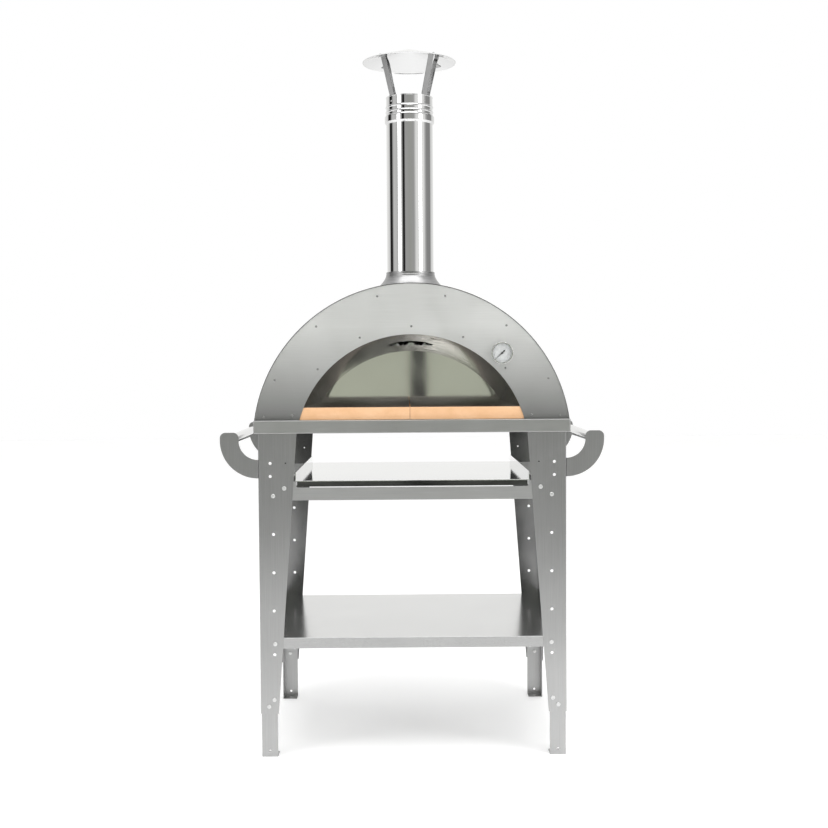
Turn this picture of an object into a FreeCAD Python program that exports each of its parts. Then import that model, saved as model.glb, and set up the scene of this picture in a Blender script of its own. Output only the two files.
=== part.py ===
import FreeCAD, Part
import math
import os

# Wood fired pizza oven on a folded sheet stand. Millimetres, +Z up.
# Origin: middle of the footprint at floor level. The mouth faces -Y, +X is to the right of a person facing the mouth.

V = FreeCAD.Vector

# ---------------------------------------------------------------- driving dimensions
STAND_X = 399.0          # half width over the legs
STAND_Y = 308.0          # half depth over the legs
LEG_T = 2.0              # leg sheet
LEG_TOP_Z = 844.7        # top of the legs, underside of the base pan
LEG_BOT_Z = 113.7        # lower end of the tapered leg sheet
LEG_W_TOP = 100.0
LEG_W_BOT = 47.0
FOOT_W = 42.0            # foot angle, nested in the leg
FOOT_TOP_Z = 170.0
BEND_R = 3.0

PAN_X, PAN_Y = 410.5, 310.0
PAN_Z0, PAN_Z1 = 844.7, 878.0
PAN_T = 1.5
PAN_LIP = 25.0

RAIL_Z0, RAIL_Z1 = 671.0, 719.0
RAIL_T = 1.5
NOTCH_X = 301.5
NOTCH_Z = 704.3
TRAY_X = 303.5
TRAY_FLOOR = 722.0
TRAY_WALL = 743.6
TRAY_T = 1.5

SHELF_Z0, SHELF_Z1 = 284.2, 312.2
SHELF_T = 1.5

HOOK_CZ = 827.0          # centre of the quarter ring of a handle bracket
HOOK_RI, HOOK_RO = 50.0, 98.0
HOOK_T = 3.0
HOOK_TOP = 847.8
BAR_X, BAR_Z, BAR_R, BAR_WALL = 474.7, 825.6, 13.5, 1.5

SHELL_R, SHELL_CZ = 414.0, 819.0     # round outer shell
SHELL_T = 1.2
SHELL_Y = 292.0
PANEL_Y = 290.0
PANEL_T = 1.2
MOUTH_R = 304.0
MOUTH_CZ = 795.6
FLANGE_W = 36.0          # turned-in flanges of the shell behind the panels

VAULT_R = 308.0          # inside radius of the firebox vault at the mouth
BACK_R, BACK_CZ = 319.2, 742.8       # inside radius and centre height of the vault at the back wall
VAULT_T = 1.2
VAULT_Y1 = 250.0         # back wall

TILE_X = 306.0
TILE_Z0, HEARTH_Z = 879.0, 911.0
TILE_Y0, TILE_Y1 = -288.0, 270.0

PIPE_R = 65.0            # outside radius of the chimney pipe
PIPE_T = 0.8
PIPE_Z0, PIPE_Z1 = 1252.0, 1711.0
COLLAR_TOP = 1279.0
CAP_Z1 = 1765.5
HAT_R, HAT_Z0, HAT_Z1 = 130.5, 1863.6, 1902.0
STRUT_TURN = 40.0        # degrees from +X to the first strut

DIAL_X, DIAL_Z, DIAL_R = 234.5, 1049.5, 28.5

BOLT_R = 3.0             # M6
BOLT_HOLE = 3.3
HEAD_R, HEAD_H = 5.6, 3.4
SHELF_HOLE = 4.0         # spare shelf holes in the legs
HOOK_BOLT_Z = (740.0, 766.0)

os.makedirs("parts", exist_ok=True)


# ---------------------------------------------------------------- helpers
def box(x0, x1, y0, y1, z0, z1):
    x0, x1 = min(x0, x1), max(x0, x1)
    y0, y1 = min(y0, y1), max(y0, y1)
    return Part.makeBox(x1 - x0, y1 - y0, z1 - z0, V(x0, y0, z0))


def cyl(r, h, base, d):
    return Part.makeCylinder(r, h, V(*base), V(*d))


def prism(points, vec):
    w = Part.makePolygon([V(*p) for p in points] + [V(*points[0])])
    return Part.Face(w).extrude(V(*vec))


def fuse(shapes):
    s = shapes[0]
    if len(shapes) > 1:
        s = s.multiFuse(shapes[1:])
    return s.removeSplitter()


def cut(s, *tools):
    for t in tools:
        s = s.cut(t)
    return s


def mirror_x(s):
    return s.mirror(V(0, 0, 0), V(1, 0, 0))


def mirror_y(s):
    return s.mirror(V(0, 0, 0), V(0, 1, 0))


def solids(s):
    return s.Solids if s.Solids else [s]


def fillet_where(s, r, test):
    edges = [e for e in s.Edges if test(e)]
    if not edges:
        return s
    try:
        out = s.makeFillet(r, edges)
        if out.isValid() and out.Volume > 0:
            return out
    except Exception:
        pass
    return s


def vertical_edge_at(x, y, tol=0.01):
    def test(e):
        a, b = e.Vertexes[0].Point, e.Vertexes[-1].Point
        return all(abs(p.x - x) < tol and abs(p.y - y) < tol for p in (a, b)) and abs(a.z - b.z) > 1
    return test


def strip_points(points, t):
    """Outline of a bent strip of thickness t whose one face runs through the points (2D), mitred."""
    n = len(points)
    out = []
    for i in range(n):
        if i == 0:
            d1 = d2 = (points[1][0] - points[0][0], points[1][1] - points[0][1])
        elif i == n - 1:
            d1 = d2 = (points[-1][0] - points[-2][0], points[-1][1] - points[-2][1])
        else:
            d1 = (points[i][0] - points[i - 1][0], points[i][1] - points[i - 1][1])
            d2 = (points[i + 1][0] - points[i][0], points[i + 1][1] - points[i][1])
        n1 = math.hypot(*d1)
        n2 = math.hypot(*d2)
        a = (-d1[1] / n1, d1[0] / n1)
        b = (-d2[1] / n2, d2[0] / n2)
        m = (a[0] + b[0], a[1] + b[1])
        k = t / (1 + a[0] * b[0] + a[1] * b[1])
        out.append((points[i][0] + m[0] * k, points[i][1] + m[1] * k))
    return list(points) + out[::-1]


def bolt(pos, d, length, head_r=HEAD_R, head_h=HEAD_H, r=BOLT_R, socket=2.0):
    """Button head bolt: head outside the face at pos, the shank running along -d; d is the face's outward normal."""
    p, n = V(*pos), V(*d)
    head = Part.makeCylinder(head_r, head_h, p, n)
    top = [e for e in head.Edges if abs((e.CenterOfMass - (p + n * head_h)).dot(n)) < 1e-3 and e.Length > 5]
    try:
        head = head.makeFillet(min(head_h * 0.62, head_r * 0.45), top[:1])
    except Exception:
        pass
    if socket:
        tool = hexagon(socket * 2, head_h * 0.6, p + n * (head_h * 0.45), n)
        head = head.cut(tool)
    shank = Part.makeCylinder(r, length, p - n * length, n)
    return head.fuse(shank).removeSplitter()


def hexagon(af, h, base, n):
    r = af / math.sqrt(3)
    pts = [V(r * math.cos(math.radians(60 * i)), r * math.sin(math.radians(60 * i)), 0) for i in range(7)]
    f = Part.Face(Part.makePolygon(pts)).extrude(V(0, 0, h))
    f.Placement = FreeCAD.Placement(base, FreeCAD.Rotation(V(0, 0, 1), n))
    return f


def nut(pos, d, af=10.0, h=5.0, r=BOLT_R + 0.05):
    """Nut whose face lies on pos and which stands along d."""
    p, n = V(*pos), V(*d)
    s = hexagon(af, h, p, n)
    return s.cut(Part.makeCylinder(r, h + 2, p - n * 1.0, n))


def arch_solid(inset, y0, y1, z0=PAN_Z1):
    """Solid under the shell's outside surface, moved in by inset."""
    s = cyl(SHELL_R - inset, y1 - y0, (0, y0, SHELL_CZ), (0, 1, 0))
    return s.cut(box(-600, 600, y0 - 1, y1 + 1, SHELL_CZ - 600, z0))


def export(name, shape):
    parts = [s for s in solids(shape)]
    shape = parts[0] if len(parts) == 1 else Part.makeCompound(parts)
    ok = all(s.isValid() and s.Volume > 0 for s in parts)
    b = shape.BoundBox
    print("%-22s n=%2d ok=%s vol=%9.1f  x %.1f..%.1f y %.1f..%.1f z %.1f..%.1f" % (
        name, len(parts), ok, shape.Volume / 1000.0, b.XMin, b.XMax, b.YMin, b.YMax, b.ZMin, b.ZMax))
    shape.exportStep("parts/%s.step" % name)


# ---------------------------------------------------------------- legs and feet
leg_bolt_x_z = [(67.0, 702.5), (38.0, 683.0)]       # from the outer edge, height: shelf rail
leg_shelf_bolt = (39.5, 296.8)
spare_holes = [(31.0, 767.7), (31.0, 733.8), (38.0, 583.0), (38.0, 483.0), (38.0, 383.0), (38.0, 268.6)]
small_hole = (71.0, 767.7)
foot_bolts = [(36.0, 150.5), (22.0, 132.6)]
foot_hole = (21.0, 15.0)


def leg():
    """Front right leg: one tapered face to the front, one to the side, a flange at the top."""
    x, y = STAND_X, -STAND_Y
    face = prism([(x, y, LEG_TOP_Z), (x - LEG_W_TOP, y, LEG_TOP_Z), (x - LEG_W_BOT, y, LEG_BOT_Z), (x, y, LEG_BOT_Z)], (0, LEG_T, 0))
    side = prism([(x, y, LEG_TOP_Z), (x, y + LEG_W_TOP, LEG_TOP_Z), (x, y + LEG_W_BOT, LEG_BOT_Z), (x, y, LEG_BOT_Z)], (-LEG_T, 0, 0))
    flange = box(x - 70, x - LEG_T, y + LEG_T, y + 70, LEG_TOP_Z - LEG_T, LEG_TOP_Z)
    s = fuse([face, side, flange])
    s = fillet_where(s, BEND_R, vertical_edge_at(x, y))
    tools = []
    for dx, z in leg_bolt_x_z + [leg_shelf_bolt] + foot_bolts:
        tools.append(cyl(BOLT_HOLE, 10, (x - dx, y - 4, z), (0, 1, 0)))
    for dx, z in spare_holes:
        tools.append(cyl(SHELF_HOLE, 10, (x - dx, y - 4, z), (0, 1, 0)))
    tools.append(cyl(2.0, 10, (x - small_hole[0], y - 4, small_hole[1]), (0, 1, 0)))
    for z in HOOK_BOLT_Z:
        tools.append(cyl(BOLT_HOLE, 10, (x - 6, y + 34, z), (1, 0, 0)))
    for z in (583.0, 483.0, 383.0):
        tools.append(cyl(SHELF_HOLE, 10, (x - 6, y + 37.6, z), (1, 0, 0)))
    tools.append(cyl(BOLT_HOLE, 10, (x - 45, y + 45, LEG_TOP_Z - 6), (0, 0, 1)))
    return cut(s, *tools)


def foot():
    g = 0.2
    x, y = STAND_X - LEG_T - g, -STAND_Y + LEG_T + g
    t = 2.0
    face = box(x - FOOT_W, x, y, y + t, 0, FOOT_TOP_Z)
    side = box(x - t, x, y, y + FOOT_W, 0, FOOT_TOP_Z)
    sole = box(x - FOOT_W, x, y, y + FOOT_W, 0, t)
    s = fuse([face, side, sole])
    s = fillet_where(s, 1.6, vertical_edge_at(x, y))
    tools = [cyl(4.5, 10, (x - 22, y + 22, -4), (0, 0, 1))]
    for dx, z in foot_bolts:
        tools.append(cyl(BOLT_HOLE, 10, (STAND_X - dx, y - 4, z), (0, 1, 0)))
    tools.append(cyl(3.5, 10, (STAND_X - foot_hole[0] - 2, y - 4, foot_hole[1]), (0, 1, 0)))
    return cut(s, *tools)


L = leg()
F = foot()
export("leg_front_right", L)
export("leg_front_left", mirror_x(L))
export("leg_rear_right", mirror_y(L))
export("leg_rear_left", mirror_x(mirror_y(L)))
export("foot_front_right", F)
export("foot_front_left", mirror_x(F))
export("foot_rear_right", mirror_y(F))
export("foot_rear_left", mirror_x(mirror_y(F)))

# ---------------------------------------------------------------- shelf rails, runners and tray
ri = STAND_Y - LEG_T                      # outer face of the rails
rail = fuse([
    box(-396.5, 396.5, -ri, -ri + RAIL_T, RAIL_Z0, RAIL_Z1),
    box(-396.5, 396.5, -ri, -ri + 22, RAIL_Z0, RAIL_Z0 + RAIL_T),
])
rail_holes = []
for sx in (1, -1):
    for dx, z in leg_bolt_x_z:
        rail_holes.append(cyl(BOLT_HOLE, 8, (sx * (STAND_X - dx), -ri - 3, z), (0, 1, 0)))
rail = cut(rail, *rail_holes)
notch = box(-NOTCH_X, NOTCH_X, -ri - 2, -ri + 4, NOTCH_Z, RAIL_Z1 + 5)
notch = fillet_where(notch, 5.0, lambda e: abs(e.CenterOfMass.z - NOTCH_Z) < 0.01 and abs(abs(e.CenterOfMass.x) - NOTCH_X) < 0.01)
front_rail = cut(rail, notch)
export("shelf_front_rail", front_rail)
export("shelf_rear_rail", mirror_y(rail))

web_x = 320.0
runner = fuse([
    box(web_x - 1.5, web_x, -ri + RAIL_T, ri - RAIL_T, 690.0, 720.4),
    box(285.0, web_x, -296.0, 296.0, 718.9, 720.4),
    box(web_x, web_x + 22, -ri + RAIL_T, -ri + RAIL_T + 1.5, 690.0, 714.0),
    box(web_x, web_x + 22, ri - RAIL_T - 1.5, ri - RAIL_T, 690.0, 714.0),
])
runner = cut(runner, cyl(BOLT_HOLE, 8, (STAND_X - 67.0, -ri - 2, 702.5), (0, 1, 0)), cyl(BOLT_HOLE, 8, (STAND_X - 67.0, ri + 2, 702.5), (0, -1, 0)))
export("shelf_runner_right", runner)
export("shelf_runner_left", mirror_x(runner))

tray = fuse([
    box(-TRAY_X, TRAY_X, -303.0, 300.0, TRAY_FLOOR - TRAY_T, TRAY_FLOOR),
    box(TRAY_X - TRAY_T, TRAY_X, -303.0, 300.0, TRAY_FLOOR - TRAY_T, TRAY_WALL),
    box(-TRAY_X, -TRAY_X + TRAY_T, -303.0, 300.0, TRAY_FLOOR - TRAY_T, TRAY_WALL),
    box(-TRAY_X, TRAY_X, -304.2, -300.5, TRAY_FLOOR - 2.4, TRAY_FLOOR),
    box(-299.0, 299.0, -300.5, -299.0, 706.0, TRAY_FLOOR),
])
tray = fillet_where(tray, 0.8, lambda e: abs(e.CenterOfMass.y + 304.2) < 0.01 and abs(e.CenterOfMass.z - TRAY_FLOOR) < 0.01)
export("shelf_tray", tray)

# ---------------------------------------------------------------- lower shelf
sx_, sy_ = 396.5, ri
shelf = fuse([
    box(-sx_, sx_, -sy_, sy_, SHELF_Z1 - SHELF_T, SHELF_Z1),
    box(-sx_, sx_, -sy_, -sy_ + SHELF_T, SHELF_Z0, SHELF_Z1),
    box(-sx_, sx_, sy_ - SHELF_T, sy_, SHELF_Z0, SHELF_Z1),
    box(-sx_, -sx_ + SHELF_T, -sy_, sy_, SHELF_Z0, SHELF_Z1),
    box(sx_ - SHELF_T, sx_, -sy_, sy_, SHELF_Z0, SHELF_Z1),
    box(-sx_, sx_, -sy_, -sy_ + 12, SHELF_Z0, SHELF_Z0 + SHELF_T),
    box(-sx_, sx_, sy_ - 12, sy_, SHELF_Z0, SHELF_Z0 + SHELF_T),
])
shelf = fillet_where(shelf, 1.4, lambda e: abs(abs(e.CenterOfMass.y) - sy_) < 0.01 and abs(e.CenterOfMass.z - SHELF_Z1) < 0.01)
for sx in (1, -1):
    for sy in (1, -1):
        shelf = shelf.cut(cyl(BOLT_HOLE, 8, (sx * (STAND_X - 39.5), sy * (sy_ + 3), 296.8), (0, -sy, 0)))
export("lower_shelf", shelf)

# ---------------------------------------------------------------- base pan
pan = box(-PAN_X, PAN_X, -PAN_Y, PAN_Y, PAN_Z0, PAN_Z1)
pan = fillet_where(pan, 3.0, lambda e: abs(abs(e.CenterOfMass.x) - PAN_X) < 0.01 and abs(abs(e.CenterOfMass.y) - PAN_Y) < 0.01)
pan = fillet_where(pan, 1.4, lambda e: abs(e.CenterOfMass.z - PAN_Z1) < 0.01 or abs(e.CenterOfMass.z - PAN_Z0) < 0.01)
pan = cut(
    pan,
    box(-PAN_X + PAN_T, PAN_X - PAN_T, -PAN_Y + PAN_T, PAN_Y - PAN_T, PAN_Z0 + PAN_T, PAN_Z1 - PAN_T),
    box(-PAN_X + PAN_LIP, PAN_X - PAN_LIP, -PAN_Y + PAN_LIP, PAN_Y - PAN_LIP, PAN_Z0 + PAN_T, PAN_Z1 + 2),
)
for sx in (1, -1):
    for sy in (1, -1):
        pan = pan.cut(cyl(BOLT_HOLE, 8, (sx * (STAND_X - 45), sy * (STAND_Y - 45), PAN_Z0 - 3), (0, 0, 1)))
export("base_pan", pan)

board = fuse([
    box(-PAN_X + 2, PAN_X - 2, -PAN_Y + 2, PAN_Y - 2, PAN_Z0 + PAN_T + 0.2, PAN_Z1 - PAN_T - 0.2),
    box(-PAN_X + PAN_LIP + 0.5, PAN_X - PAN_LIP - 0.5, -PAN_Y + PAN_LIP + 0.5, PAN_Y - PAN_LIP - 0.5, PAN_Z0 + 10, PAN_Z1 - 0.2),
    box(-TILE_X, TILE_X, -284.0, TILE_Y1, PAN_Z0 + 10, TILE_Z0),
])
for sx in (1, -1):
    for sy in (1, -1):
        board = board.cut(cyl(8.0, 16, (sx * (STAND_X - 45), sy * (STAND_Y - 45), PAN_Z0 - 2), (0, 0, 1)))
export("floor_insulation", board)

# ---------------------------------------------------------------- hearth
gap = 0.5


def brick(x0, x1, y0, y1, z0, z1, c=1.5):
    s = box(x0, x1, y0, y1, z0, z1)
    zt = max(z0, z1)
    return s.makeChamfer(c, [e for e in s.Edges if abs(e.CenterOfMass.z - zt) < 0.01])


ym = (TILE_Y0 + TILE_Y1) / 2
export("hearth_tile_front_right", brick(gap - 5, TILE_X, TILE_Y0, ym - gap, TILE_Z0, HEARTH_Z))
export("hearth_tile_front_left", brick(-TILE_X, -gap - 5, TILE_Y0, ym - gap, TILE_Z0, HEARTH_Z))
export("hearth_tile_rear_right", brick(gap - 5, TILE_X, ym + gap, TILE_Y1, TILE_Z0, HEARTH_Z))
export("hearth_tile_rear_left", brick(-TILE_X, -gap - 5, ym + gap, TILE_Y1, TILE_Z0, HEARTH_Z))

# ---------------------------------------------------------------- panel screws and their places
outer_screws = [(88.0, 1198.0), (246.6, 1121.0), (355.0, 983.0), (385.0, 887.0)]
inner_screws = [(0.0, 1120.1), (134.0, 1091.3), (243.6, 1010.3), (311.0, 890.0)]


def both(points):
    out = []
    for x, z in points:
        out.append((x, z))
        if x > 0:
            out.append((-x, z))
    return out


# ---------------------------------------------------------------- shell, panels and rings
flue_hole = cyl(PIPE_R + 1.0, 500, (0, 0, 1050), (0, 0, 1))
shell = arch_solid(0, -SHELL_Y, SHELL_Y).cut(cyl(SHELL_R - SHELL_T, 2 * SHELL_Y + 2, (0, -SHELL_Y - 1, SHELL_CZ), (0, 1, 0)))
turned = []
for y in (-PANEL_Y + PANEL_T, PANEL_Y - PANEL_T - SHELL_T):
    f = arch_solid(SHELL_T / 2, y, y + SHELL_T).cut(cyl(SHELL_R - FLANGE_W, SHELL_T + 2, (0, y - 1, SHELL_CZ), (0, 1, 0)))
    turned.append(f)
hem = []
for sx in (1, -1):
    hem.append(box(sx * 409.0, sx * 392, -PANEL_Y + PANEL_T, PANEL_Y - PANEL_T, PAN_Z1, PAN_Z1 + SHELL_T))
shell = fuse([shell] + turned + hem).cut(flue_hole)
shell = cut(shell, *[cyl(1.7, 700, (x, -PANEL_Y - 5, z), (0, 1, 0)) for x, z in both(outer_screws)])
export("outer_shell", shell)

IN = SHELL_T + 1.0       # the panels stop short of the shell, leaving a narrow groove
mouth = cyl(MOUTH_R, 60, (0, -PANEL_Y - 20, MOUTH_CZ), (0, 1, 0))
panel = arch_solid(IN, -PANEL_Y, -PANEL_Y + PANEL_T).cut(mouth)
panel_holes = [cyl(1.7, 12, (x, -PANEL_Y - 5, z), (0, 1, 0)) for x, z in both(outer_screws) + both(inner_screws)]
panel = cut(panel, *panel_holes, cyl(6.2, 12, (DIAL_X, -PANEL_Y - 5, DIAL_Z), (0, 1, 0)))
export("front_panel", panel)

rear = arch_solid(IN, PANEL_Y - PANEL_T, PANEL_Y)
rear_holes = [cyl(1.7, 12, (x, PANEL_Y - 7, z), (0, 1, 0)) for x, z in both(outer_screws)]
rear = cut(rear, *rear_holes)
export("rear_panel", rear)


# ---------------------------------------------------------------- firebox vault
vy0 = -PANEL_Y + PANEL_T


def arc_wire(y, r, cz, z0):
    """Closed outline in the plane y: circle of radius r about height cz, cut off at z0."""
    h = math.sqrt(r * r - (z0 - cz) ** 2)
    return Part.Wire([
        Part.LineSegment(V(-h, y, z0), V(h, y, z0)).toShape(),
        Part.Arc(V(h, y, z0), V(0, y, cz + r), V(-h, y, z0)).toShape(),
    ])


def vault_solid(grow, y0=None, y1=None, z0=HEARTH_Z - 20):
    """Space of the firebox grown by grow, tapering from the mouth to the back wall."""
    y0 = vy0 if y0 is None else y0
    y1 = VAULT_Y1 if y1 is None else y1

    def at(y):
        u = (y - vy0) / (VAULT_Y1 - vy0)
        r = VAULT_R + (BACK_R - VAULT_R) * u
        top = MOUTH_CZ + VAULT_R + (BACK_CZ + BACK_R - MOUTH_CZ - VAULT_R) * u
        return arc_wire(y, r + grow, top - r, z0)

    s = Part.makeLoft([at(y0), at(y1)], True, True)
    return s.reversed() if s.Volume < 0 else s


vault = vault_solid(VAULT_T).cut(vault_solid(0, vy0 - 5, VAULT_Y1 + 5)).cut(box(-500, 500, -400, 400, 300, HEARTH_Z))
flange = cyl(333.0, VAULT_T, (0, vy0, MOUTH_CZ), (0, 1, 0)).cut(cyl(VAULT_R, 10, (0, vy0 - 4, MOUTH_CZ), (0, 1, 0)))
flange = flange.cut(box(-500, 500, -400, 400, 300, PAN_Z1 + 0.2)).cut(box(-306.4, 306.4, -400, 0, 300, HEARTH_Z))
flange = cut(flange, *[cyl(1.7, 12, (x, vy0 - 5, z), (0, 1, 0)) for x, z in both(inner_screws)])
vault = fuse([vault, flange]).cut(cyl(62.9, 600, (0, 0, 950), (0, 0, 1)))
export("firebox_vault", vault)

back = Part.Face(arc_wire(VAULT_Y1, BACK_R + VAULT_T, BACK_CZ, HEARTH_Z)).extrude(V(0, VAULT_T, 0))
export("firebox_back", back)

# ---------------------------------------------------------------- insulation between vault and shell
wool = arch_solid(IN + 1.0, -PANEL_Y + 3.0, PANEL_Y - 3.0, PAN_Z1 + 1.6)
wool = cut(
    wool,
    vault_solid(VAULT_T + 0.8, vy0 - 5, VAULT_Y1 + VAULT_T + 0.6),
    box(-TILE_X - 0.5, TILE_X + 0.5, -400, TILE_Y1 + 1, 800, HEARTH_Z + 0.4),
    cyl(66.5, 600, (0, 0, 950), (0, 0, 1)),
    cyl(11.0, 140, (DIAL_X, -PANEL_Y, DIAL_Z), (0, 1, 0)),
    cyl(2.6, 30, (DIAL_X, -PANEL_Y, DIAL_Z), (0, 1, 0)),
)
wool = wool.cut(fuse([cyl(2.6, 10, (x, -PANEL_Y, z), (0, 1, 0)) for x, z in both(outer_screws) + both(inner_screws)]))
wool = wool.cut(fuse([cyl(2.6, 10, (x, PANEL_Y - 10, z), (0, 1, 0)) for x, z in both(outer_screws)]))
export("vault_insulation", wool)

# ---------------------------------------------------------------- flue
flue_bottom = cyl(62.7, 260, (0, 0, 1030), (0, 0, 1)).cut(cyl(61.7, 300, (0, 0, 1020), (0, 0, 1)))
flue_bottom = flue_bottom.cut(vault_solid(-0.2))
export("flue_spigot", flue_bottom)


def revolve(points):
    w = Part.makePolygon([V(r, 0, z) for r, z in points] + [V(points[0][0], 0, points[0][1])])
    return Part.Face(w).revolve(V(0, 0, 0), V(0, 0, 1), 360)


def smooth_profile(points):
    return [(r, z) for r, z in points]


flare_out = [(68.0, COLLAR_TOP), (68.0, 1273.0)]
flare_in = []
for i in range(13):
    t = 1.42 * i / 12.0
    flare_out.append((68.4 + 34.0 * t ** 1.6, 1272.0 - 44.0 * t))
    flare_in.append((67.2 + 34.0 * t ** 1.6, 1271.0 - 44.0 * t - 0.6))
flare_in = flare_in[::-1] + [(66.8, 1252.0 - 1.6), (63.2, 1250.4), (63.2, 1251.7), (65.3, 1251.7), (65.3, COLLAR_TOP)]
collar = revolve(flare_out + flare_in)
collar = collar.cut(arch_solid(-0.05, -200, 200))
collar = max(collar.Solids, key=lambda s: s.Volume)
export("chimney_collar", collar)

po = [(PIPE_R, PIPE_Z0), (PIPE_R, 1690.0), (68.0, 1694.0), (69.3, 1696.0), (69.3, PIPE_Z1)]
pi_ = [(68.3, PIPE_Z1), (68.3, 1696.6), (67.1, 1695.0), (PIPE_R - PIPE_T, 1691.0), (PIPE_R - PIPE_T, PIPE_Z0)]
pipe = revolve(po + pi_)
export("chimney_pipe", pipe)

cc_o = [(63.6, 1664.0), (63.6, 1699.0), (67.2, 1700.6), (PIPE_R, 1702.0)]
for zc in (1714.0, 1724.5, 1738.0):
    cc_o += [(PIPE_R, zc - 3.2), (66.6, zc - 1.6), (67.0, zc), (66.6, zc + 1.6), (PIPE_R, zc + 3.2)]
cc_o += [(PIPE_R, CAP_Z1 - 2), (65.8, CAP_Z1 - 1.2), (65.8, CAP_Z1)]
cc_i = [(64.6, CAP_Z1), (PIPE_R - 1.0, CAP_Z1 - 2.0), (PIPE_R - 1.0, 1703.0), (62.6, 1699.5), (62.6, 1664.0)]
cap_collar = revolve(cc_o + cc_i)
export("cap_collar", cap_collar)

# cowl struts: flat strips rising from inside the collar to the underside of the cone
hat_slope = (HAT_Z1 - HAT_Z0) / HAT_R
hat_t = 0.9


def under(r):
    return HAT_Z1 - hat_t * math.sqrt(1 + hat_slope ** 2) - 0.05 - hat_slope * r


W = 18.0
r_in = math.sqrt((PIPE_R - 1.0 - 0.1) ** 2 - (W / 2) ** 2)
path = [(r_in, 1736.0), (r_in, 1764.0), (95.0, under(95.0) - 1.9), (111.0, under(111.0) - 1.9)]
lean = strip_points([(p[0], p[1]) for p in path], 1.6)
struts, rivets = [], []
for k in range(4):
    pts = [(x, -W / 2, z) for x, z in lean]
    s = prism(pts, (0, W, 0))
    riv_a = Part.makeSphere(2.6, V(PIPE_R, 0, 1750.0)).common(Part.makeBox(10, 20, 20, V(PIPE_R, -10, 1740.0)))
    ang = STRUT_TURN + 90 * k
    s.rotate(V(0, 0, 0), V(0, 0, 1), ang)
    riv_a.rotate(V(0, 0, 0), V(0, 0, 1), ang)
    struts.append(s)
    rivets.append(riv_a)
    # rivet head on top of the cone
    n = V(hat_slope, 0, 1)
    n.normalize()
    base = V(103.0, 0, HAT_Z1 - hat_slope * 103.0)
    head = Part.makeSphere(3.0, base).common(hexagon(20, 10, base + n * 0.02, n))
    head.rotate(V(0, 0, 0), V(0, 0, 1), ang)
    rivets.append(head)
export("cowl_struts", Part.makeCompound(struts))
hat_o = [(0.0, HAT_Z1), (HAT_R - 1.5, HAT_Z1 - hat_slope * (HAT_R - 1.5)), (HAT_R, HAT_Z0 - 0.6), (HAT_R - 0.8, HAT_Z0 - 2.0),
         (HAT_R - 2.2, HAT_Z1 - hat_slope * (HAT_R - 2.2) - hat_t * math.sqrt(1 + hat_slope ** 2)), (0.0, HAT_Z1 - hat_t * math.sqrt(1 + hat_slope ** 2))]
hat = revolve(hat_o)
export("cowl_cone", hat)
export("cowl_rivets", Part.makeCompound(rivets))

# ---------------------------------------------------------------- handles
def hook():
    """Front right handle bracket: a quarter ring in the XZ plane with a tab bent back along the leg."""
    x, y0 = STAND_X, -STAND_Y
    full = cyl(HOOK_RO, HOOK_T, (x, y0, HOOK_CZ), (0, 1, 0)).cut(cyl(HOOK_RI, HOOK_T + 4, (x, y0 - 2, HOOK_CZ), (0, 1, 0)))
    quarter = full.common(box(x, x + 200, y0, y0 + HOOK_T, HOOK_CZ - 200, HOOK_CZ))
    stem = box(x + HOOK_RI, x + HOOK_RO, y0, y0 + HOOK_T, HOOK_CZ - 1, HOOK_TOP)
    stem = fillet_where(stem, 14.0, lambda e: abs(e.CenterOfMass.z - HOOK_TOP) < 0.01 and abs(e.BoundBox.YLength - HOOK_T) < 0.01)
    tab = box(x, x + HOOK_T, y0, y0 + 52, HOOK_CZ - HOOK_RO + 2, HOOK_CZ - HOOK_RI - 2)
    s = fuse([quarter, stem, tab])
    s = fillet_where(s, 2.2, vertical_edge_at(x, y0))
    for z in HOOK_BOLT_Z:
        s = s.cut(cyl(BOLT_HOLE, 12, (x - 4, -STAND_Y + 34, z), (1, 0, 0)))
    return s


H = hook()
export("handle_bracket_front_right", H)
export("handle_bracket_front_left", mirror_x(H))
export("handle_bracket_rear_right", mirror_y(H))
export("handle_bracket_rear_left", mirror_x(mirror_y(H)))
bar = cyl(BAR_R, 610.0, (BAR_X, -305.0, BAR_Z), (0, 1, 0)).cut(cyl(BAR_R - BAR_WALL, 620.0, (BAR_X, -310.0, BAR_Z), (0, 1, 0)))
export("handle_bar_right", bar)
export("handle_bar_left", mirror_x(bar))

# ---------------------------------------------------------------- thermometer
yp = -PANEL_Y
D = lambda y, r0, h, dy=1: cyl(r0, h, (DIAL_X, y, DIAL_Z), (0, dy, 0))
case = D(yp - 9.5, DIAL_R - 0.6, 9.0).cut(D(yp - 10.5, DIAL_R - 1.6, 8.6))
case = case.cut(D(yp - 12, 2.2, 20))
export("thermometer_case", case)
bez = D(yp - 11.5, DIAL_R, 4.0).cut(D(yp - 9.5, DIAL_R - 0.55, 4.0)).cut(D(yp - 13, DIAL_R - 3.2, 8.0))
bez = fillet_where(bez, 0.8, lambda e: abs(e.CenterOfMass.y - (yp - 11.5)) < 0.01 and e.Length > 2 * math.pi * (DIAL_R - 1))
bez = bez.cut(D(yp - 10.3, DIAL_R - 1.4, 1.3))
export("thermometer_bezel", bez)
export("thermometer_glass", D(yp - 10.2, DIAL_R - 1.8, 1.0))
dial = D(yp - 3.6, DIAL_R - 1.9, 0.8).cut(D(yp - 6, 1.1, 6))
export("thermometer_dial", dial)
# pointer on a 1.6 mm spindle
hub = D(yp - 6.4, 2.8, 1.2)
ang = math.radians(-133.0)      # points down and to the left at rest


def pt(u, v):
    """u along the pointer, v across it, in the XZ plane."""
    return (DIAL_X + u * math.sin(ang) + v * math.cos(ang), yp - 6.4, DIAL_Z + u * math.cos(ang) - v * math.sin(ang))


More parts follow.
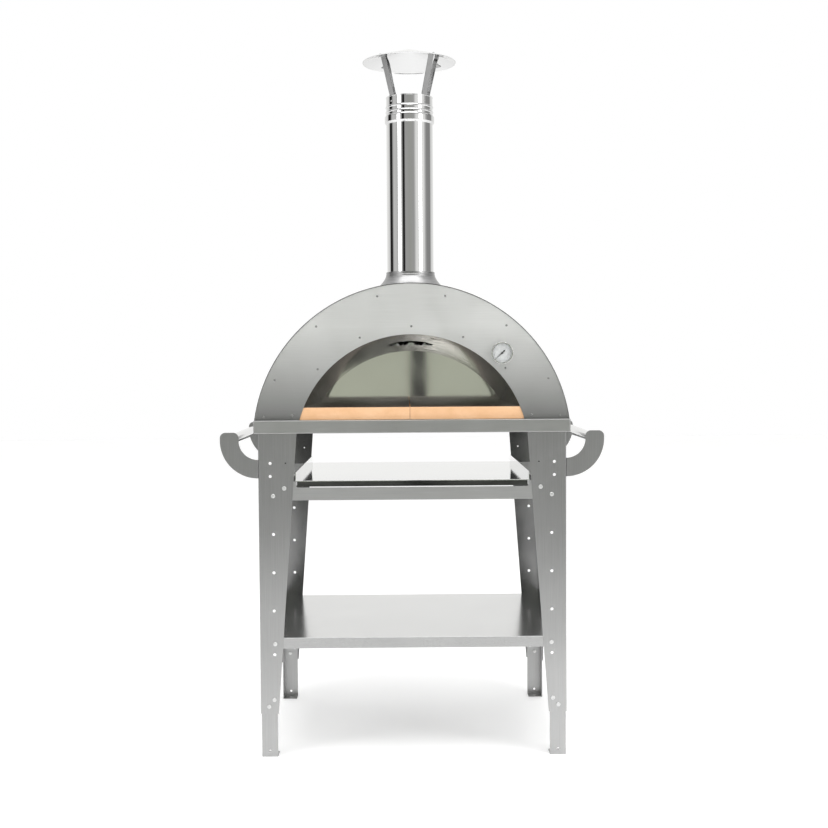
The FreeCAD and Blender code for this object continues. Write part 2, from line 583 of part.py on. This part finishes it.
needle = prism([pt(-8, 1.3), pt(0, 1.3), pt(20.5, 0.25), pt(20.5, -0.25), pt(0, -1.3), pt(-8, -1.3)], (0, 0.7, 0))
needle = needle.fuse(cyl(2.0, 0.7, pt(-8, 0), (0, 1, 0)))
pointer = fuse([needle, hub]).cut(D(yp - 9, 0.85, 8))
export("thermometer_pointer", pointer)
spindle = D(yp - 7.2, 0.8, 7.6)
stem = D(yp - 0.5 + 1.0, 3.0, 86.0)
gland = D(yp - 0.4, 6.0, 6.5)
stem = fuse([stem, gland, D(yp - 0.4, 2.0, 1.4), spindle])
export("thermometer_stem", stem)
tn = hexagon(17.0, 4.5, V(DIAL_X, -PANEL_Y + PANEL_T + 0.05, DIAL_Z), V(0, 1, 0)).cut(D(-PANEL_Y, 6.05, 10))
export("thermometer_nut", tn)

# ---------------------------------------------------------------- fasteners
bolts, nuts = [], []
for sx in (1, -1):
    for sy in (1, -1):
        yo = -sy * STAND_Y
        n = (0, -sy, 0)
        for i, (dx, z) in enumerate(leg_bolt_x_z + [leg_shelf_bolt]):
            extra = RAIL_T + (1.5 if i == 0 else 0)
            bolts.append(bolt((sx * (STAND_X - dx), yo, z), n, LEG_T + extra + 7.0))
            nuts.append(nut((sx * (STAND_X - dx), yo + sy * (LEG_T + extra + 0.02), z), (0, sy, 0)))
export("shelf_bolts", Part.makeCompound(bolts))
export("shelf_nuts", Part.makeCompound(nuts))
bolts = []
for sx in (1, -1):
    for sy in (1, -1):
        yo = -sy * STAND_Y
        for dx, z in foot_bolts:
            bolts.append(bolt((sx * (STAND_X - dx), yo, z), (0, -sy, 0), 10.5))
            bolts.append(nut((sx * (STAND_X - dx), yo + sy * (LEG_T + 0.2 + 2.0 + 0.02), z), (0, sy, 0), af=9.0, h=4.0))
export("foot_bolts", Part.makeCompound(bolts))
bolts = []
for sx in (1, -1):
    for sy in (1, -1):
        for z in HOOK_BOLT_Z:
            y = -sy * (STAND_Y - 34)
            bolts.append(bolt((sx * (STAND_X + HOOK_T), y, z), (sx, 0, 0), 12.5))
            bolts.append(nut((sx * (STAND_X - LEG_T - 0.02), y, z), (-sx, 0, 0)))
export("handle_bolts", Part.makeCompound(bolts))
bolts = []
for sx in (1, -1):
    for sy in (1, -1):
        p = (sx * (STAND_X - 45), sy * (STAND_Y - 45))
        bolts.append(bolt((p[0], p[1], LEG_TOP_Z - LEG_T), (0, 0, -1), 11.0))
        bolts.append(nut((p[0], p[1], PAN_Z0 + PAN_T + 0.02), (0, 0, 1)))
export("base_bolts", Part.makeCompound(bolts))

S = [bolt((x, -PANEL_Y, z), (0, -1, 0), 5.0, head_r=3.0, head_h=1.6, r=1.6, socket=0) for x, z in both(outer_screws) + both(inner_screws)]
export("front_panel_screws", Part.makeCompound(S))
S = [bolt((x, PANEL_Y, z), (0, 1, 0), 5.0, head_r=3.0, head_h=1.6, r=1.6, socket=0) for x, z in both(outer_screws)]
export("rear_panel_screws", Part.makeCompound(S))
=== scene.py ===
import bpy
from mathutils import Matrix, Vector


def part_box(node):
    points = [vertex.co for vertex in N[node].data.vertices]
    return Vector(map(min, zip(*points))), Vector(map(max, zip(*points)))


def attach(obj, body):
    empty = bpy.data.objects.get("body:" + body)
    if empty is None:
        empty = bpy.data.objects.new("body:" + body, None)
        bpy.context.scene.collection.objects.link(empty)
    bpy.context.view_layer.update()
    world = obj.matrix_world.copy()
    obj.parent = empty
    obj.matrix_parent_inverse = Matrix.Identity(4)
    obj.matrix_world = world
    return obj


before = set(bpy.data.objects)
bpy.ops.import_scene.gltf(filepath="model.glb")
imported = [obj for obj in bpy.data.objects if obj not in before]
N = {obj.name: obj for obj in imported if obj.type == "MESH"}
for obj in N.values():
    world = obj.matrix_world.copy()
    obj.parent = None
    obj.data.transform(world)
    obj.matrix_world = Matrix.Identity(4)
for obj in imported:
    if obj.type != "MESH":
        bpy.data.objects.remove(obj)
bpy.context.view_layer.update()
import bpy, math
from mathutils import Vector, Matrix

scene = bpy.context.scene
scene.view_settings.view_transform = "Standard"
scene.view_settings.look = "None"


# ---------------------------------------------------------------- material helpers
class Mat:
    def __init__(self, name):
        self.m = bpy.data.materials.new(name)
        self.m.use_nodes = True
        self.t = self.m.node_tree
        self.t.nodes.clear()
        self.out = self.n("ShaderNodeOutputMaterial")
        self.b = self.n("ShaderNodeBsdfPrincipled")
        self.l(self.b.outputs["BSDF"], self.out.inputs["Surface"])
        self.co = self.n("ShaderNodeTexCoord").outputs["Object"]

    def n(self, kind, **kw):
        x = self.t.nodes.new(kind)
        for k, v in kw.items():
            setattr(x, k, v)
        return x

    def l(self, a, b):
        self.t.links.new(a, b)

    def scaled(self, s, co=None):
        mp = self.n("ShaderNodeMapping")
        mp.inputs["Scale"].default_value = s
        self.l(co or self.co, mp.inputs["Vector"])
        return mp.outputs["Vector"]

    def noise(self, s, scale=1.0, detail=4.0, rough=0.55, dist=0.0):
        x = self.n("ShaderNodeTexNoise")
        x.inputs["Scale"].default_value = scale
        x.inputs["Detail"].default_value = detail
        x.inputs["Roughness"].default_value = rough
        x.inputs["Distortion"].default_value = dist
        self.l(self.scaled(s), x.inputs["Vector"])
        return x.outputs["Fac"]

    def remap(self, v, a, b, c, d):
        x = self.n("ShaderNodeMapRange")
        for i, k in enumerate((a, b, c, d)):
            x.inputs[1 + i].default_value = k
        self.l(v, x.inputs["Value"])
        return x.outputs["Result"]

    def math(self, op, a, b):
        x = self.n("ShaderNodeMath", operation=op)
        for i, v in enumerate((a, b)):
            if isinstance(v, (int, float)):
                x.inputs[i].default_value = v
            else:
                self.l(v, x.inputs[i])
        return x.outputs[0]

    def ramp(self, v, stops):
        x = self.n("ShaderNodeValToRGB")
        e = x.color_ramp.elements
        while len(e) > 1:
            e.remove(e[-1])
        e[0].position, e[0].color = stops[0][0], (*stops[0][1], 1)
        for p, c in stops[1:]:
            q = e.new(p)
            q.color = (*c, 1)
        self.l(v, x.inputs["Fac"])
        return x.outputs["Color"]

    def bump(self, v, strength, dist):
        x = self.n("ShaderNodeBump")
        x.inputs["Strength"].default_value = strength
        x.inputs["Distance"].default_value = dist
        self.l(v, x.inputs["Height"])
        self.l(x.outputs["Normal"], self.b.inputs["Normal"])


def steel(name, lo, hi, r0, r1, grain, strength, scratch=0.5, warmth=0.0, painted_height_shading=None):
    """Stainless sheet: brush grain along one axis, soft handling marks, slow changes of tone, and optionally a base
    colour scaled with height as painted light and shade.
    """
    m = Mat(name)
    m.b.inputs["Metallic"].default_value = 1.0
    g = m.noise(grain, 1.0, 3.0, 0.6)
    big = m.noise((3.1, 2.7, 2.3), 1.0, 3.0, 0.5, 0.3)
    mix = m.math("ADD", m.math("MULTIPLY", g, 0.55), m.math("MULTIPLY", big, 0.45))
    w = warmth
    col = m.ramp(mix, [(0.3, (lo, lo * (1 - 0.2 * w), lo * (1 - 0.6 * w))), (0.7, (hi, hi * (1 - 0.1 * w), hi * (1 - 0.4 * w)))])
    # painted light and shade: the base colour is multiplied by a ramp over height
    if painted_height_shading:
        sep = m.n("ShaderNodeSeparateXYZ")
        m.l(m.co, sep.inputs[0])
        f = m.remap(sep.outputs["Z"], painted_height_shading[0], painted_height_shading[1], painted_height_shading[2], painted_height_shading[3])
        mx = m.n("ShaderNodeMix", data_type="RGBA", blend_type="MULTIPLY")
        mx.inputs["Factor"].default_value = 1.0
        m.l(col, mx.inputs["A"])
        cmb = m.n("ShaderNodeCombineColor")
        for i in range(3):
            m.l(f, cmb.inputs[i])
        m.l(cmb.outputs[0], mx.inputs["B"])
        col = mx.outputs["Result"]
    m.l(col, m.b.inputs["Base Color"])
    smudge = m.noise((11, 9, 7), 1.0, 5.0, 0.65, 0.8)
    rr = m.math("ADD", m.math("MULTIPLY", g, 0.5), m.math("MULTIPLY", smudge, 0.5))
    m.l(m.remap(rr, 0.3, 0.7, r0, r1), m.b.inputs["Roughness"])
    m.bump(m.math("ADD", g, m.math("MULTIPLY", smudge, 0.15)), strength, 0.0002)
    return m.m


satin_x = steel("satin_grain_x", 0.36, 0.46, 0.30, 0.42, (9, 700, 1500), 0.16)
# front legs, feet and handle brackets: the height ramp paints them lighter towards the floor as painted light
satin_z = steel("satin_grain_z", 0.25, 0.34, 0.30, 0.42, (1400, 900, 8), 0.16, painted_height_shading=(0.06, 0.60, 1.55, 1.0))
# rear legs: a darker copy of the leg steel as painted shade, its mottle a painted reflection
rear_z = steel("mottled_rear_leg", 0.10, 0.34, 0.12, 0.26, (9, 9, 5), 0.05)
# front panel: the height ramp is painted shade, darker towards its base
panel_m = steel("satin_panel", 0.86, 0.98, 0.34, 0.44, (8, 500, 1100), 0.14, painted_height_shading=(0.87, 1.12, 0.24, 1.0))
pan_m = steel("satin_pan", 0.38, 0.48, 0.26, 0.36, (10, 900, 1400), 0.15)
shell_m = steel("satin_shell", 0.52, 0.60, 0.26, 0.36, (900, 8, 900), 0.14)
# painted shade: the rear panel is a darker copy of the front panel steel, against the bright light behind
rear_m = steel("satin_rear_panel_painted_shade", 0.42, 0.52, 0.34, 0.44, (8, 500, 1100), 0.14)
# painted shade: near-black steel for the tray's front flange, recessed in shade behind the fascia notch
skirt_m = steel("tray_skirt_painted_shade", 0.06, 0.14, 0.08, 0.18, (9, 300, 300), 0.04)
collar_m = steel("satin_collar", 0.26, 0.40, 0.28, 0.40, (40, 40, 400), 0.12)
# painted shade: the lower shelf's upright lip faces are a darker copy of the shelf steel
lip_m = steel("satin_lip_painted_shade", 0.36, 0.44, 0.22, 0.32, (9, 500, 900), 0.1)
polish = steel("polished_sheet", 0.66, 0.74, 0.05, 0.11, (7, 500, 500), 0.02)
shelf_m = steel("satin_shelf", 0.62, 0.70, 0.16, 0.24, (7, 700, 700), 0.05)
strut_m = steel("dark_polish", 0.30, 0.42, 0.08, 0.16, (200, 200, 9), 0.04)
pipe_m = steel("polished_pipe", 0.62, 0.72, 0.03, 0.07, (60, 60, 4), 0.05)
vault_m = steel("polished_vault", 0.82, 0.90, 0.03, 0.08, (12, 4, 12), 0.02, warmth=0.12)
back_m = steel("polished_back", 0.88, 0.95, 0.035, 0.08, (5, 30, 9), 0.04, warmth=0.15)
zinc = steel("zinc_fastener", 0.62, 0.80, 0.28, 0.42, (900, 900, 900), 0.10)


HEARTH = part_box("hearth_tile_front_left")[1][2]


def brick_material():
    m = Mat("fired_tile")
    a = m.noise((14, 14, 20), 1.0, 6.0, 0.6)
    fine = m.noise((420, 420, 420), 1.0, 4.0, 0.7)
    v = m.n("ShaderNodeTexVoronoi")
    v.inputs["Scale"].default_value = 260.0
    m.l(m.co, v.inputs["Vector"])
    mix = m.math("ADD", m.math("MULTIPLY", a, 0.7), m.math("MULTIPLY", fine, 0.3))
    clay = m.ramp(mix, [(0.3, (0.74, 0.43, 0.22)), (0.5, (0.82, 0.50, 0.28)), (0.7, (0.90, 0.59, 0.36))])
    # painted shade and painted dark reflection: the tiles' top faces are painted near black
    painted_dark_top = m.ramp(mix, [(0.3, (0.035, 0.024, 0.018)), (0.6, (0.07, 0.045, 0.03)), (0.75, (0.14, 0.085, 0.05))])
    sep = m.n("ShaderNodeSeparateXYZ")
    m.l(m.co, sep.inputs[0])
    top = m.remap(m.math("ADD", sep.outputs["Z"], m.math("MULTIPLY", a, 0.0008)), HEARTH - 0.0006, HEARTH + 0.0003, 0.0, 1.0)
    mx = m.n("ShaderNodeMix", data_type="RGBA")
    m.l(top, mx.inputs["Factor"])
    m.l(clay, mx.inputs["A"])
    m.l(painted_dark_top, mx.inputs["B"])
    m.l(mx.outputs["Result"], m.b.inputs["Base Color"])
    m.l(m.math("SUBTRACT", m.remap(fine, 0.3, 0.7, 0.72, 0.9), m.math("MULTIPLY", top, 0.35)), m.b.inputs["Roughness"])
    pits = m.remap(v.outputs["Distance"], 0.0, 0.22, 0.0, 1.0)
    m.bump(m.math("ADD", m.math("MULTIPLY", pits, 0.4), fine), 0.35, 0.0006)
    return m.m


def fibre_material():
    m = Mat("ceramic_fibre")
    a = m.noise((120, 120, 30), 1.0, 6.0, 0.7, 1.2)
    m.l(m.ramp(a, [(0.3, (0.66, 0.65, 0.6)), (0.7, (0.88, 0.87, 0.83))]), m.b.inputs["Base Color"])
    m.l(m.remap(a, 0.3, 0.7, 0.85, 1.0), m.b.inputs["Roughness"])
    m.bump(a, 0.6, 0.002)
    return m.m


def dial_material():
    m = Mat("dial_paint")
    a = m.noise((300, 300, 300), 1.0, 4.0, 0.6)
    m.l(m.ramp(a, [(0.3, (0.70, 0.71, 0.71)), (0.7, (0.80, 0.81, 0.81))]), m.b.inputs["Base Color"])
    m.l(m.remap(a, 0.3, 0.7, 0.35, 0.5), m.b.inputs["Roughness"])
    m.bump(a, 0.08, 0.0001)
    return m.m


def black_material():
    m = Mat("black_paint")
    a = m.noise((500, 500, 500), 1.0, 4.0, 0.6)
    m.l(m.ramp(a, [(0.3, (0.012, 0.012, 0.013)), (0.7, (0.035, 0.035, 0.036))]), m.b.inputs["Base Color"])
    m.l(m.remap(a, 0.3, 0.7, 0.3, 0.5), m.b.inputs["Roughness"])
    m.bump(a, 0.1, 0.0001)
    return m.m


def glass_material():
    m = Mat("gauge_glass")
    a = m.noise((60, 60, 60), 1.0, 4.0, 0.6)
    m.b.inputs["Transmission Weight"].default_value = 1.0
    m.b.inputs["IOR"].default_value = 1.1
    m.l(m.ramp(a, [(0.3, (0.96, 0.97, 0.97)), (0.7, (1, 1, 1))]), m.b.inputs["Base Color"])
    m.l(m.remap(a, 0.3, 0.7, 0.0, 0.03), m.b.inputs["Roughness"])
    return m.m


screw_m = steel("screw_steel", 0.26, 0.42, 0.2, 0.35, (900, 900, 900), 0.1)
# painted shade: near-black steel on the shell's end faces stands in for the dark gap where shell meets the panels
rim_m = steel("shell_edge_painted_shade", 0.015, 0.03, 0.3, 0.45, (60, 60, 60), 0.1)
brick_m, fibre_m, dial_m, black_m, glass_m = brick_material(), fibre_material(), dial_material(), black_material(), glass_material()


def pick(n):
    if ("screws" in n and "panel" not in n) or "bolts" in n or "nuts" in n or n in ("thermometer_nut", "thermometer_stem"):
        return zinc
    if n.startswith("hearth"):
        return brick_m
    if "insulation" in n:
        return fibre_m
    if n.startswith("leg_rear"):
        return rear_z
    if n.startswith("leg_") or n.startswith("foot_") or n.startswith("handle_bracket"):
        return satin_z
    if n == "rear_panel":
        return rear_m
    if n == "front_panel":
        return panel_m
    if n == "outer_shell":
        return shell_m
    if n == "chimney_collar":
        return collar_m
    if n == "base_pan":
        return pan_m
    if n in ("shelf_front_rail", "shelf_rear_rail", "shelf_runner_left", "shelf_runner_right"):
        return satin_x
    if n == "firebox_vault":
        return vault_m
    if n == "firebox_back":
        return back_m
    if n in ("chimney_pipe", "cap_collar", "flue_spigot"):
        return pipe_m
    if n == "lower_shelf":
        return shelf_m
    if n in ("cowl_struts", "cowl_rivets"):
        return strut_m
    if n in ("front_panel_screws", "rear_panel_screws"):
        return screw_m
    if n == "thermometer_dial":
        return dial_m
    if n == "thermometer_pointer":
        return black_m
    if n == "thermometer_glass":
        return glass_m
    return polish


for name, o in N.items():
    o.data.materials.clear()
    o.data.materials.append(pick(name))
    if name == "lower_shelf":
        # the shelf's upright faces get the darker painted-shade steel
        o.data.materials.append(lip_m)
        for f in o.data.polygons:
            if abs(f.normal.z) < 0.3:
                f.material_index = 1
    if name == "shelf_tray":
        # the tray's front flange faces behind the notch get the painted-shade steel
        o.data.materials.append(skirt_m)
        for f in o.data.polygons:
            if f.normal.y < -0.9 and f.center.y > -0.302 and f.center.z < 0.7215:
                f.material_index = 1
    if name == "outer_shell":
        # the shell's end faces get the painted-shade steel
        o.data.materials.append(rim_m)
        for f in o.data.polygons:
            if abs(f.normal.y) > 0.9 and abs(f.center.y) > 0.2915:
                f.material_index = 1
    if name.startswith(("leg_", "foot_front", "foot_rear", "base_pan", "shelf_", "lower_shelf", "handle_bracket", "cowl_struts")) and "bolts" not in name and "nuts" not in name:
        b = o.modifiers.new("edge", "BEVEL")
        b.width = 0.0004
        b.segments = 2
        b.limit_method = "ANGLE"
        b.angle_limit = math.radians(50)


# ---------------------------------------------------------------- printed marks on the dial
def marks():
    lo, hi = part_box("thermometer_dial")
    cx, cz, y = (lo[0] + hi[0]) / 2, (lo[2] + hi[2]) / 2, lo[1] - 0.00004
    R = (hi[0] - lo[0]) / 2
    v, f = [], []

    def bar(a, r0, r1, w):
        s, c = math.sin(a), math.cos(a)
        i = len(v)
        for r, k in ((r0, -w), (r0, w), (r1, w), (r1, -w)):
            v.append((cx + r * s + k * c, y, cz + r * c - k * s))
        for r, k in ((r0, -w), (r0, w), (r1, w), (r1, -w)):
            v.append((cx + r * s + k * c, y + 0.00003, cz + r * c - k * s))
        f.extend([(i, i + 1, i + 2, i + 3), (i + 7, i + 6, i + 5, i + 4), (i, i + 4, i + 5, i + 1), (i + 1, i + 5, i + 6, i + 2), (i + 2, i + 6, i + 7, i + 3), (i + 3, i + 7, i + 4, i)])

    for k in range(51):
        a = math.radians(-135 + 270 * k / 50.0)
        bar(a, R * (0.80 if k % 5 == 0 else 0.86), R * 0.92, 0.00022 if k % 5 == 0 else 0.0001)
    me = bpy.data.meshes.new("dial_marks")
    me.from_pydata(v, [], f)
    o = bpy.data.objects.new("dial_marks", me)
    scene.collection.objects.link(o)
    me.materials.append(black_m)
    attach(o, "stand_and_oven")


marks()


# ---------------------------------------------------------------- stage
def floor_material():
    m = Mat("studio_floor")
    a = m.noise((2, 2, 2), 1.0, 3.0, 0.5)
    m.l(m.ramp(a, [(0.3, (0.94, 0.94, 0.94)), (0.7, (0.97, 0.97, 0.97))]), m.b.inputs["Base Color"])
    m.l(m.remap(a, 0.3, 0.7, 0.6, 0.7), m.b.inputs["Roughness"])
    m.b.inputs["Emission Color"].default_value = (1, 1, 1, 1)
    m.b.inputs["Emission Strength"].default_value = 0.16
    return m.m


def card_material(name, col):
    m = Mat(name)
    a = m.noise((2, 2, 2), 1.0, 3.0, 0.5)
    m.l(m.ramp(a, [(0.3, tuple(c * 0.9 for c in col)), (0.7, col)]), m.b.inputs["Base Color"])
    m.b.inputs["Roughness"].default_value = 0.8
    return m.m


def quad(name, pts, mat):
    me = bpy.data.meshes.new(name)
    me.from_pydata(pts, [], [(0, 1, 2, 3)])
    o = bpy.data.objects.new(name, me)
    scene.collection.objects.link(o)
    me.materials.append(mat)
    return o


quad("studio_floor", [(-14, -14, 0), (14, -14, 0), (14, 14, 0), (-14, 14, 0)], floor_material())
dark = card_material("dark_card", (0.02, 0.02, 0.02))
# the cards only shape the reflections, so the camera doesn't see them
grey = card_material("grey_card", (0.36, 0.385, 0.325))
for card in (
    quad("flag_tripod", [(0.0, -3.70, 0.0), (0.13, -3.70, 0.0), (0.11, -3.70, 1.2), (0.02, -3.70, 1.2)], dark),
    quad("back_of_room", [(-4, -6, 0.0), (4, -6, 0.0), (4, -6, 1.5), (-4, -6, 1.5)], grey),
):
    card.visible_camera = False
    card.visible_shadow = False
    card.visible_diffuse = False


def area(name, loc, target, size, size_y, power):
    l = bpy.data.lights.new(name, "AREA")
    l.shape = "RECTANGLE"
    l.size, l.size_y, l.energy = size, size_y, power
    o = bpy.data.objects.new(name, l)
    scene.collection.objects.link(o)
    o.location = loc
    o.rotation_euler = (Vector(target) - Vector(loc)).to_track_quat("-Z", "Y").to_euler()


area("soft_top", (0.0, -1.2, 4.2), (0, 0, 1.0), 4.0, 3.0, 100)
area("soft_left", (-3.4, -2.6, 2.4), (0, 0, 1.0), 1.2, 2.4, 22)
area("soft_right", (3.4, -2.6, 2.2), (0, 0, 1.0), 1.2, 2.4, 30)

# the surroundings: white behind and low, dimmer bands at the sides, so that curved polished sheet shows streaks
w = bpy.data.worlds.new("studio")
scene.world = w
w.use_nodes = True
wt = w.node_tree
bg = next(n for n in wt.nodes if n.type == "BACKGROUND")
tc = wt.nodes.new("ShaderNodeTexCoord")
sp = wt.nodes.new("ShaderNodeSeparateXYZ")
wt.links.new(tc.outputs["Generated"], sp.inputs[0])
at = wt.nodes.new("ShaderNodeMath")
at.operation = "ARCTAN2"
wt.links.new(sp.outputs["X"], at.inputs[0])
wt.links.new(sp.outputs["Y"], at.inputs[1])
mr = wt.nodes.new("ShaderNodeMapRange")
mr.inputs[1].default_value, mr.inputs[2].default_value = -math.pi, math.pi
wt.links.new(at.outputs[0], mr.inputs["Value"])
rp = wt.nodes.new("ShaderNodeValToRGB")
e = rp.color_ramp.elements
e[0].position, e[0].color = 0.0, (0.42, 0.425, 0.40, 1)
e[1].position, e[1].color = 1.0, (0.42, 0.425, 0.40, 1)
# the direction +Y is at 0.5, +X at 0.75, -X at 0.25, -Y at both ends
for p_, c_ in ((0.066, 0.44), (0.074, 0.02), (0.100, 0.02), (0.108, 0.62), (0.24, 0.70), (0.262, 0.40), (0.272, 0.02), (0.318, 0.02), (0.335, 0.85), (0.40, 1.0),
               (0.62, 0.95), (0.655, 0.80), (0.67, 0.30), (0.75, 0.34), (0.775, 0.60), (0.80, 1.05), (0.915, 1.0), (0.945, 0.44)):
    q = e.new(p_)
    q.color = (c_, c_, c_ * 0.985, 1)
wt.links.new(mr.outputs["Result"], rp.inputs["Fac"])
# overhead and below stay white
ab = wt.nodes.new("ShaderNodeMapRange")
ab.inputs[1].default_value, ab.inputs[2].default_value = 0.35, 0.75
wt.links.new(sp.outputs["Z"], ab.inputs["Value"])
mxw = wt.nodes.new("ShaderNodeMix")
mxw.data_type = "RGBA"
wt.links.new(ab.outputs["Result"], mxw.inputs["Factor"])
wt.links.new(rp.outputs["Color"], mxw.inputs["A"])
mxw.inputs["B"].default_value = (0.95, 0.95, 0.95, 1)
wt.links.new(mxw.outputs["Result"], bg.inputs["Color"])
# the camera itself sees plain white paper
lp = wt.nodes.new("ShaderNodeLightPath")
bg2 = wt.nodes.new("ShaderNodeBackground")
bg2.inputs["Color"].default_value = (1, 1, 1, 1)
mxs = wt.nodes.new("ShaderNodeMixShader")
wo = next(n for n in wt.nodes if n.type == "OUTPUT_WORLD")
wt.links.new(lp.outputs["Is Camera Ray"], mxs.inputs["Fac"])
wt.links.new(bg.outputs["Background"], mxs.inputs[1])
wt.links.new(bg2.outputs["Background"], mxs.inputs[2])
wt.links.new(mxs.outputs["Shader"], wo.inputs["Surface"])

# ---------------------------------------------------------------- camera
yaw, pitch, roll = 0.0067782, 0.0397432, -0.0065836
fwd = Vector((math.sin(yaw) * math.cos(pitch), math.cos(yaw) * math.cos(pitch), -math.sin(pitch)))
right = Vector((math.cos(yaw), -math.sin(yaw), 0))
up = right.cross(fwd)
r2 = right * math.cos(roll) + up * math.sin(roll)
u2 = -right * math.sin(roll) + up * math.cos(roll)
cam = bpy.data.objects.new("camera", bpy.data.cameras.new("camera"))
scene.collection.objects.link(cam)
m = Matrix((r2, u2, -fwd)).transposed().to_4x4()
m.translation = Vector((-0.01695, -3.58017, 1.02329))
cam.matrix_world = m
cam.data.lens = 55.098
cam.data.sensor_width = 36.0
scene.camera = cam

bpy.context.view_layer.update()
